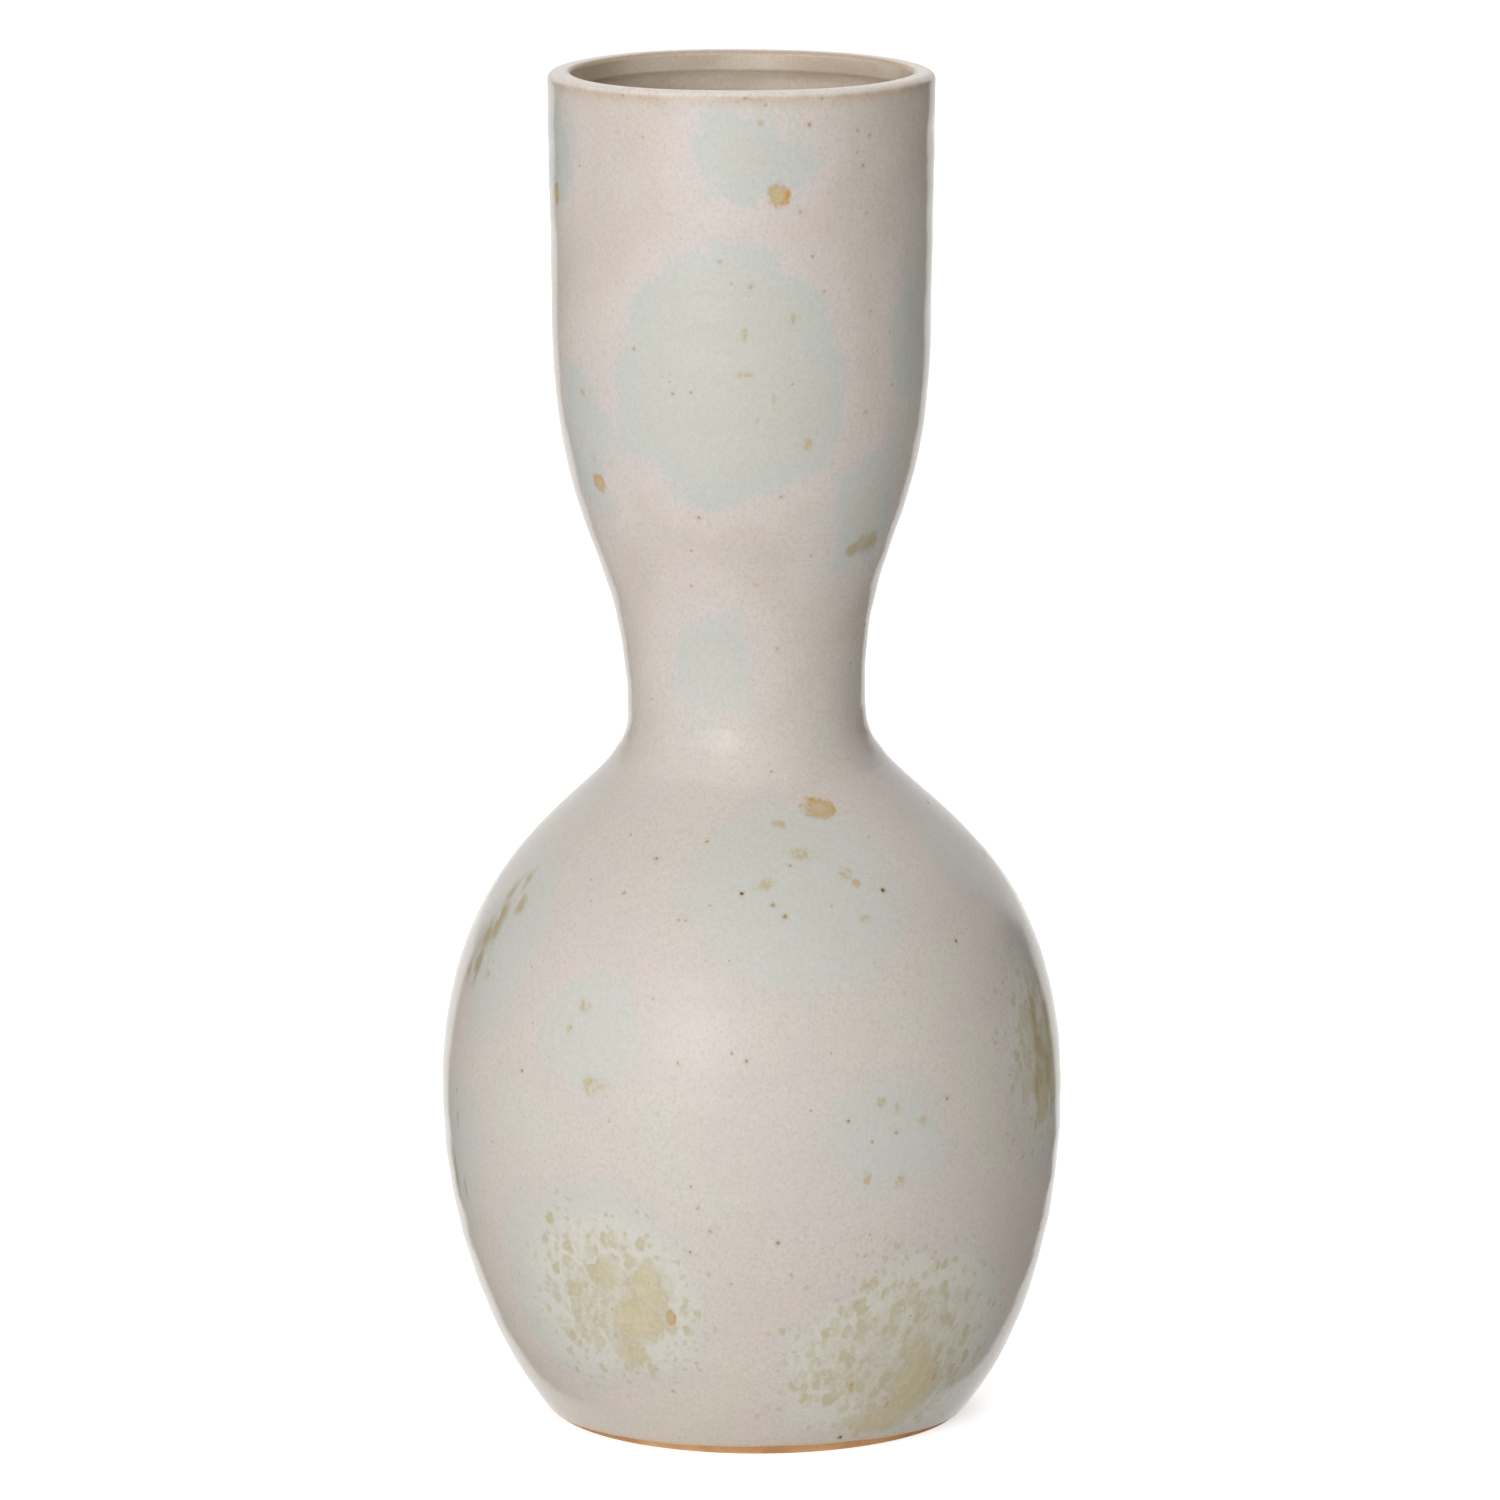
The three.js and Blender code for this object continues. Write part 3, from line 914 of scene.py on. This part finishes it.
# Colours of the glazes and the clay
CREAM = colour(209, 203, 192)
LILAC = colour(209, 200, 194)
# The collar's tan-grey: partly the glaze's own tone, partly painted shade for light falling off towards the
# top
TAN_GREY_SHADE = colour(205, 195, 184)
HEEL_CREAM = colour(208, 199, 185)
ROSE = colour(214, 201, 194)
PEPPER = colour(184, 168, 150)
CELADON = colour(197, 198, 188)
CELADON_PALE = colour(202, 203, 195)
CELADON_BLUE = colour(196, 198, 193)
VEIL = colour(204, 198, 193)
HALO = colour(212, 209, 198)
OLIVE = colour(194, 183, 154)
DEEP_OLIVE = colour(202, 190, 153)
CRUMB = colour(190, 177, 152)
OCHRE = colour(186, 160, 110)
OCHRE_PALE = colour(201, 183, 144)
ORANGE = colour(198, 142, 64)
STAIN = colour(188, 168, 123)
STROKE = colour(181, 164, 130)
RUST = colour(164, 122, 72)
IRON = colour(92, 56, 28)
# The lip top's pale glaze, lightened with painted light for the top that faces up
LIP_PALE_LIT = colour(240, 231, 223)
LIP_TAN = colour(188, 160, 126)
LINER = colour(221, 207, 191)
LINER_DARK = colour(203, 187, 169)
# Line under the inner band: brown of the glaze breaking over the step, darkened as painted shade
LINER_LINE_SHADE = colour(150, 126, 100)
TOAST = colour(225, 179, 130)
TOAST_DARK = colour(200, 150, 104)
SLIP_PALE = colour(224, 196, 158)

# Sizes of the clouds, lumps and cells in the finishes, and depths of their relief
CLOUD_SIZE = 60
MOTTLE_SIZE = 12
LOBE_SIZE = 14
RAG_SIZE = 5.0
FRILL_SIZE = 2.0
BLOT_SIZE = 1.2
GRAIN_SIZE = 0.75
RUN_SIZE = 2.6
OLIVE_CELL = 2.7
CRUMB_CELL = 2.3
DUST_CELL = 4.6
RIPPLE_SIZE = 4.0
PEEL_DEPTH = 0.12
LINER_CLOUD = 22
LINER_GRAIN = 0.6
LINER_DUST = 6.0
LINER_PEEL = 0.06
CLAY_CLOUD = 12
CLAY_GRAIN = 0.5
GROG_SIZE = 1.4
CLAY_DEPTH = 0.12

# Heights in metres over which the glaze turns darker tan-grey (partly its own tone, partly painted shade for
# light falling off towards the top), cream at the heel, and paler green below the waist
TAN_SHADE_RISE = (0.15, 0.21)
HEEL_FALL = (0.07, 0.03)
PALE_FALL = (0.20, 0.15)

# Roughness seen face on and at a flat angle, where it turns, what the dry lip adds, and the plainer surfaces'
SATIN = (0.4, 0.1)
SATIN_TURN = (0.46, 0.7)
DRY_LIP = 0.22
LINER_ROUGHNESS = 0.4
CLAY_ROUGHNESS = 0.86
GLOSS = 0.26


def reactive_glaze():
    """Satin cream to lilac glaze with celadon patches, olive cells, strokes, ochre spots and iron specks."""
    material, f = new_finish("reactive_glaze")
    place = f.place()
    height = f.part(place, "Z")
    clouds = f.noise(place, CLOUD_SIZE, 3)
    mottle = f.noise(place, MOTTLE_SIZE, 3)
    lobed = f.noise(f.squeezed(place, (1.0, 1.0, 0.9)), LOBE_SIZE, 2)
    ragged = f.noise(place, RAG_SIZE, 4)
    frill = f.noise(place, FRILL_SIZE, 3)
    blot = f.noise(place, BLOT_SIZE, 2)
    grain = f.noise(place, GRAIN_SIZE, 2)

    # Ground: cream and lilac clouds, darker tan-grey on the collar (partly its own tone, partly painted shade
    # for light falling off towards the top), rosier near the patches, peppered all over
    patch = f.field("celadon") + swing((lobed, 15))
    base = f.blend(f.ease(clouds * 0.6 + mottle * 0.4, 0.38, 0.62), CREAM, LILAC)
    # Painted shade, with the collar's own tan-grey: the glaze darkens above the waist as if less light
    # reached the top
    greyed_and_shaded = f.ease(height, *TAN_SHADE_RISE) * f.ease(patch, -3.0, -11.0) * f.ease(mottle, 0.3, 0.6, 0.6, 1.0)
    base = f.blend(greyed_and_shaded, base, TAN_GREY_SHADE)
    base = f.blend(f.ease(height, *HEEL_FALL) * 0.5, base, HEEL_CREAM)
    base = f.blend(f.ease(patch, -14.0, -2.0) * 0.45, base, ROSE)
    base = f.blend(f.ease(grain, 0.56, 0.72) * f.ease(mottle, 0.35, 0.65, 0.2, 0.5), base, PEPPER)

    # Celadon patches in a thin grey veil, feathered, milky in the middle and a little bluer at the edge
    below_waist = f.ease(height, *PALE_FALL)
    edge = patch + swing((ragged, 9), (frill, 2.4))
    veil = f.ease(edge + swing((mottle, 14)), -6.0, -1.0) * 0.45
    base = f.blend(veil, base, VEIL)
    blur = below_waist * 2.0 + 1.9
    celadon = f.ease(edge, 0.0 - blur, blur)
    green = f.blend(f.ease(edge + swing((mottle, 9)), 0.0, 9.0), CELADON_BLUE, CELADON)
    green = f.blend(below_waist, green, CELADON_PALE)
    green = f.blend(f.ease(f.field("olive"), -8.0, 3.0), green, HALO)
    base = f.blend(celadon * 0.88, base, green)

    # Olive: pools, cells round them that have grown together, crumbs outside, and pale runs
    around = f.field("olive") + swing((ragged, 16))
    runs = f.noise(f.squeezed(place, (1.0, 1.0, 0.4)), RUN_SIZE, 2)
    pool = f.field("olive_pool") + swing((ragged, 7), (runs, 5))
    drawn = f.squeezed(f.warped(place, 3.0, 2.2), (1.0, 1.0, 0.75))
    cells = f.cells(drawn, OLIVE_CELL)
    chance = f.chance(cells)
    spread = f.ease(around + swing((chance, 9)), -7.0, 15.0)
    grown = f.ease(spread * 0.9 - cells + swing((blot, 0.3)), -0.16, 0.18) * f.ease(spread, 0.04, 0.4)
    mixed = f.ease(runs * 0.6 + blot * 0.25 + frill * 0.15, 0.6, 0.43, 0.25, 1.0)
    grown = grown * mixed * f.ease(chance, 0.0, 1.0, 0.4, 0.9)
    wash = f.ease(pool, -1.0, 2.6) * (mixed * 0.4 + 0.55)
    crumbs = f.cells(f.warped(place, 2.6, 1.8), CRUMB_CELL)
    crumb = f.ease(crumbs + swing((blot, 0.4)), 0.46, 0.16) * f.ease(f.chance(crumbs), 0.3, 0.9)
    crumb = crumb * f.ease(around, -12.0, -3.0) * f.ease(around, 9.0, 1.0) * 0.6
    base = f.blend(crumb, base, CRUMB)
    olive = f.blend(f.ease(pool, 0.0, 5.0), OLIVE, DEEP_OLIVE)
    base = f.blend(f.greater(grown, wash), base, olive)

    # Faint stains broken into dots, streaky strokes, and ochre spots that burnt orange on one side
    broken = f.ease(frill * 0.6 + blot * 0.4, 0.42, 0.56, 0.2, 0.95)
    stain_edge = swing((ragged, 2.6), (runs, 2.0), (blot, 0.8)) + 1.0
    for stain in f.layers("stain"):
        stained = stain_edge - f.from_middle(stain)
        base = f.blend(f.ease(stained, -0.3, 0.8) * broken * f.part(stain, "Z"), base, STAIN)
    stroke_edge = swing((ragged, 1.8), (runs, 3.0), (blot, 1.2)) + 1.0
    for stroke in f.layers("stroke"):
        streaked = stroke_edge - f.from_middle(stroke)
        base = f.blend(f.ease(streaked, -0.7, 0.9) * f.part(stroke, "Z"), base, STROKE)
    spot_edge = swing((ragged, 0.8), (frill, 1.0), (blot, 0.5)) + 1.0
    dappled = f.ease(blot, 0.3, 0.6, 0.6, 0.95)
    for spot in f.layers("ochre"):
        strength = f.part(spot, "Z")
        spotted = spot_edge - f.from_middle(spot)
        burnt = f.ease(f.from_middle(spot, -0.5) + swing((frill, 0.8)), 0.8, 1.3) * f.ease(strength, 0.5, 1.0)
        ochre = f.blend(f.ease(spotted + swing((blot, 1.4)), 0.2, 0.8) * 0.6, OCHRE, OCHRE_PALE)
        spotted = f.ease(spotted, -0.2, 0.35) * dappled * f.ease(strength, 0.0, 0.4)
        base = f.blend(spotted, base, f.blend(burnt, ochre, ORANGE))

    # Rust dust all over, and single specks from tan to iron with a stained rim
    dust = f.cells(place, DUST_CELL)
    dusty = f.ease(f.chance(dust), 0.72, 1.0) * 0.08 - dust
    base = f.blend(f.ease(dusty, -0.045, 0.01) * 0.5, base, RUST)
    speck_edge = swing((blot, 0.8), (grain, 0.8))
    for speck in f.layers("speck"):
        dark = f.part(speck, "Z")
        far = f.from_middle(speck) + speck_edge
        base = f.blend(f.ease(far, 3.0, 0.7) * dark * 0.5, base, STAIN)
        base = f.blend(f.ease(far, 1.3, 0.4) * dark, base, f.blend(f.ease(dark, 0.7, 1.0), RUST, IRON))

    # Pale lip top, partly its own pale glaze and partly painted light on the top that faces up; tan where the
    # glaze runs thin on its edges and at the glaze line
    lip_top = f.field("lip_top")
    # Painted light: the lip's top, which faces up, made paler than its glaze
    base = f.blend(lip_top * 0.95, base, LIP_PALE_LIT)
    base = f.blend(f.field("outer_edge") * f.ease(ragged, 0.3, 0.65, 0.35, 1.0) * 0.5, base, LIP_TAN)
    base = f.blend(f.field("inner_edge") * 0.8, base, LIP_TAN)
    base = f.blend(f.ease(f.field("above_line"), 0.9, 0.0) * 0.5, base, TOAST)
    base = f.shaded(base, swing((grain, 0.4 - celadon * 0.2)) + blot * 0.12 + 0.945)

    # Satin gloss, clear at a flat angle except on the dry lip
    facing = f.node("ShaderNodeLayerWeight", {}, {"Blend": 0.5}, "Facing")
    roughness = f.ease(facing, *SATIN_TURN, *SATIN) + lip_top * DRY_LIP + swing((grain, 0.06))
    ripple = f.noise(f.squeezed(place, (0.3, 0.3, 1.0)), RIPPLE_SIZE, 2)
    peel = ripple * 0.7 + frill * 0.2 + grain * 0.1
    f.surface({
        "Base Color": base,
        "Roughness": roughness,
        "Specular IOR Level": GLOSS,
        "Normal": f.bump(peel, PEEL_DEPTH),
    })
    return material


def liner_glaze():
    """Plainer taupe glaze with fine grain, soft rings, a few specks and a dark line under the inner band,
    partly glaze breaking brown and partly painted shade.
    """
    material, f = new_finish("liner_glaze")
    place = f.place()
    clouds = f.noise(f.squeezed(place, (1.0, 1.0, 3.0)), LINER_CLOUD, 3)
    grain = f.noise(place, LINER_GRAIN, 2)
    base = f.blend(f.ease(clouds, 0.35, 0.65), LINER, LINER_DARK)
    dust = f.cells(place, LINER_DUST)
    dusty = f.ease(f.chance(dust), 0.75, 1.0) * 0.05 - dust
    base = f.blend(f.ease(dusty, -0.02, 0.0) * 0.7, base, RUST)
    # Painted shade under the inner band's step, partly glaze breaking brown over it
    base = f.blend(f.field("band_edge_shade") * 0.35, base, LINER_LINE_SHADE)
    base = f.shaded(base, grain * 0.3 + 0.85)
    f.surface({
        "Base Color": base,
        "Roughness": swing((grain, 0.1)) + LINER_ROUGHNESS,
        "Normal": f.bump(f.noise(place, BLOT_SIZE, 2), LINER_PEEL),
    })
    return material


def bare_clay(name, pale, dark):
    """Fired clay with sandy grain, darker grog and toasted clouds."""
    material, f = new_finish(name)
    place = f.place()
    clouds = f.noise(place, CLAY_CLOUD, 3)
    grain = f.noise(place, CLAY_GRAIN, 3)
    grog = f.cells(place, GROG_SIZE)
    base = f.blend(f.ease(clouds, 0.35, 0.7), pale, dark)
    base = f.blend(f.ease(f.chance(grog), 0.7, 1.0) * f.ease(grog, 0.3, 0.18) * 0.5, base, TOAST_DARK)
    base = f.shaded(base, grain * 0.2 + 0.9)
    f.surface({
        "Base Color": base,
        "Roughness": swing((grain, 0.1)) + CLAY_ROUGHNESS,
        "Normal": f.bump(grain, CLAY_DEPTH),
    })
    return material


stoneware = bare_clay("bare_stoneware", TOAST, TOAST_DARK)
joining_clay = bare_clay("joining_clay", SLIP_PALE, TOAST)

PIECES = [
    (make_outer_glaze, "outer_glaze", "outer_glaze", reactive_glaze()),
    (make_liner_glaze, "liner_glaze", "liner_glaze", liner_glaze()),
    (make_foot_ring, "foot_ring", "stoneware", stoneware),
    (make_floor_slab, "floor_slab", "stoneware", stoneware),
    (make_floor_seam_coil, "floor_seam_coil", "joining_clay", joining_clay),
    (make_belly_section, "belly_section", "stoneware", stoneware),
    (make_waist_slip, "waist_slip", "joining_clay", joining_clay),
    (make_collar_section, "collar_section", "stoneware", stoneware),
]
for make, node, slot, material in PIECES:
    piece = make()
    piece.data.materials.append(material)
    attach(piece, "root")
    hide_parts(node)

# Floor, in metres: white to the camera, with the vase's shadow on it, and clear from below
FLOOR_SIZE = 12.0
FLOOR_WHITE = (0.84, 0.84, 0.84, 1.0)
FLOOR_MIRROR = (0.34, 0.325, 0.3, 1.0)
LIFT_ZONE = (0.3, 1.5)
LIFT = (0.66, 1.0)
half = FLOOR_SIZE / 2
floor_corners = [(-half, -half, 0), (half, -half, 0), (half, half, 0), (-half, half, 0)]
floor_mesh = bpy.data.meshes.new("floor")
floor_mesh.from_pydata(floor_corners, [], [(0, 1, 2, 3)])
floor = add_object("floor", floor_mesh)

# Paper seen mirrored: where its left and right edges start, near the vase and farther off, and their slope
PAPER_WHITE = 0.85
PAPER_LEFT = (0.11, 0.06, 0.61)
PAPER_RIGHT = (0.115, 0.025, 0.64)
PAPER_TURN = (0.1, 0.3)
PAPER_BLUR = (-0.03, 0.05)


def floor_paint():
    """White paint. It mirrors as bright paper that widens behind the vase, and dimmer on both sides of it."""
    material, f = new_finish("floor_paint")
    straight, mirrored = f.rays()
    place = f.place()
    aside = f.part(place, "X")
    behind = aside.other("Y")
    away = f.vectors("LENGTH", {0: place}, "Value")
    plain = f.ease(away, *LIFT_ZONE, *LIFT)

    def lane(near, far, slope, side):
        """How far a point lies inside the paper's edge on one side, which slopes away behind the vase."""
        return (behind + f.ease(away, *PAPER_TURN, near, far)) * slope + side

    inside = f.lesser(lane(*PAPER_LEFT, aside), lane(*PAPER_RIGHT, 0.0 - aside))
    paper = f.ease(inside, *(away * blur for blur in PAPER_BLUR)) * PAPER_WHITE
    shade = f.blend(mirrored, FLOOR_WHITE, FLOOR_MIRROR)
    matte = f.node("ShaderNodeBsdfDiffuse", {}, {"Color": shade})
    glow = f.node("ShaderNodeEmission", {}, {"Color": straight * plain + mirrored * paper})
    paint = f.node("ShaderNodeAddShader", {}, {0: matte, 1: glow})
    below = f.node("ShaderNodeNewGeometry", {}, {}, "Backfacing")
    clear = f.node("ShaderNodeBsdfTransparent", {}, {})
    mixed = f.node("ShaderNodeMixShader", {}, {0: below, 1: paint, 2: clear})
    f.node("ShaderNodeOutputMaterial", {}, {"Surface": mixed})
    return material


floor_mesh.materials.append(floor_paint())

# Light: a dim room that is brighter in some directions, and a white backdrop behind the vase
ROOM_LEVEL = 0.32
ROOM_BACK = -0.36
ROOM_SIDE = -0.15
ROOM_UP = -0.04
BACKDROP_SLOPE = 0.53
BACKDROP_RISE = 1.15
BACKDROP_BLUR = (-0.15, 0.1)
ROOM_TINT = (1.0, 0.972, 0.92, 1.0)
WHITE = (1.0, 1.0, 1.0, 1.0)
world = bpy.data.worlds.new("studio")
world.use_nodes = True
bpy.context.scene.world = world


def light_room(f):
    """Strength by direction: the room's level and slopes, and white for the camera and mirrored backdrop."""
    towards = f.node("ShaderNodeTexCoord", {}, {}, "Generated")
    back = f.part(towards, "Y")
    side = back.other("X")
    up = back.other("Z")
    level = f.greater(back * ROOM_BACK + side * ROOM_SIDE + up * ROOM_UP + ROOM_LEVEL, 0.0)
    straight, mirrored = f.rays()
    lane = back * BACKDROP_SLOPE + f.lesser(side, 0.0 - side) + up * BACKDROP_RISE
    backdrop = f.greater(straight, mirrored * f.ease(lane, *BACKDROP_BLUR))
    tint = f.blend(f.ease(backdrop, 0.0, 0.5), ROOM_TINT, WHITE)
    glow = f.node("ShaderNodeBackground", {}, {"Color": f.shaded(tint, f.greater(level, backdrop))})
    f.node("ShaderNodeOutputWorld", {}, {"Surface": glow})


light_room(Finish(world.node_tree))

# Lamps: degrees round from the front to the right, degrees up, distance and width in metres, and power
KEY_LIGHT = (-21.5, 15, 2.0, 0.9, 20.5)
TOP_LIGHT = (150, 60, 1.6, 1.3, 6.0)
BACK_LIGHT = (180, 18, 2.2, 1.0, 15.0)
KEY_TINT = (0.98, 1.0, 1.035)
PLAIN_TINT = (1.0, 1.0, 1.0)
AIM_HEIGHT = 0.15


def soft_light(name, azimuth, elevation, distance, width, power, tint=PLAIN_TINT, mirrored=True):
    """A round lamp with a soft cloth, aimed at the middle of the vase."""
    turn, rise = math.radians(azimuth), math.radians(elevation)
    lamp = bpy.data.lights.new(name, "AREA")
    lamp.shape = "DISK"
    lamp.size = width
    lamp.energy = power
    lamp.color = tint
    light = add_object(name, lamp)
    level = math.cos(rise) * distance
    light.location = (level * math.sin(turn), -level * math.cos(turn), math.sin(rise) * distance + AIM_HEIGHT)
    light.rotation_euler = (math.radians(90) - rise, 0.0, turn)
    light.visible_glossy = mirrored


soft_light("key_light", *KEY_LIGHT, KEY_TINT)
soft_light("top_light", *TOP_LIGHT)
soft_light("back_light", *BACK_LIGHT, mirrored=False)

# Camera at the photo's viewpoint
CAMERA_DISTANCE = 2.240
CAMERA_HEIGHT = 0.5784
CAMERA_ASIDE = -0.00047
CAMERA_PITCH = 10.64
LENS = 233.1
SENSOR_WIDTH = 36.0
lens = bpy.data.cameras.new("camera")
lens.lens = LENS
lens.sensor_width = SENSOR_WIDTH
camera = add_object("camera", lens)
camera.location = (CAMERA_ASIDE, -CAMERA_DISTANCE, CAMERA_HEIGHT)
camera.rotation_euler = (math.radians(90 - CAMERA_PITCH), 0.0, 0.0)
bpy.context.scene.camera = camera
bpy.context.scene.view_settings.view_transform = "Standard"
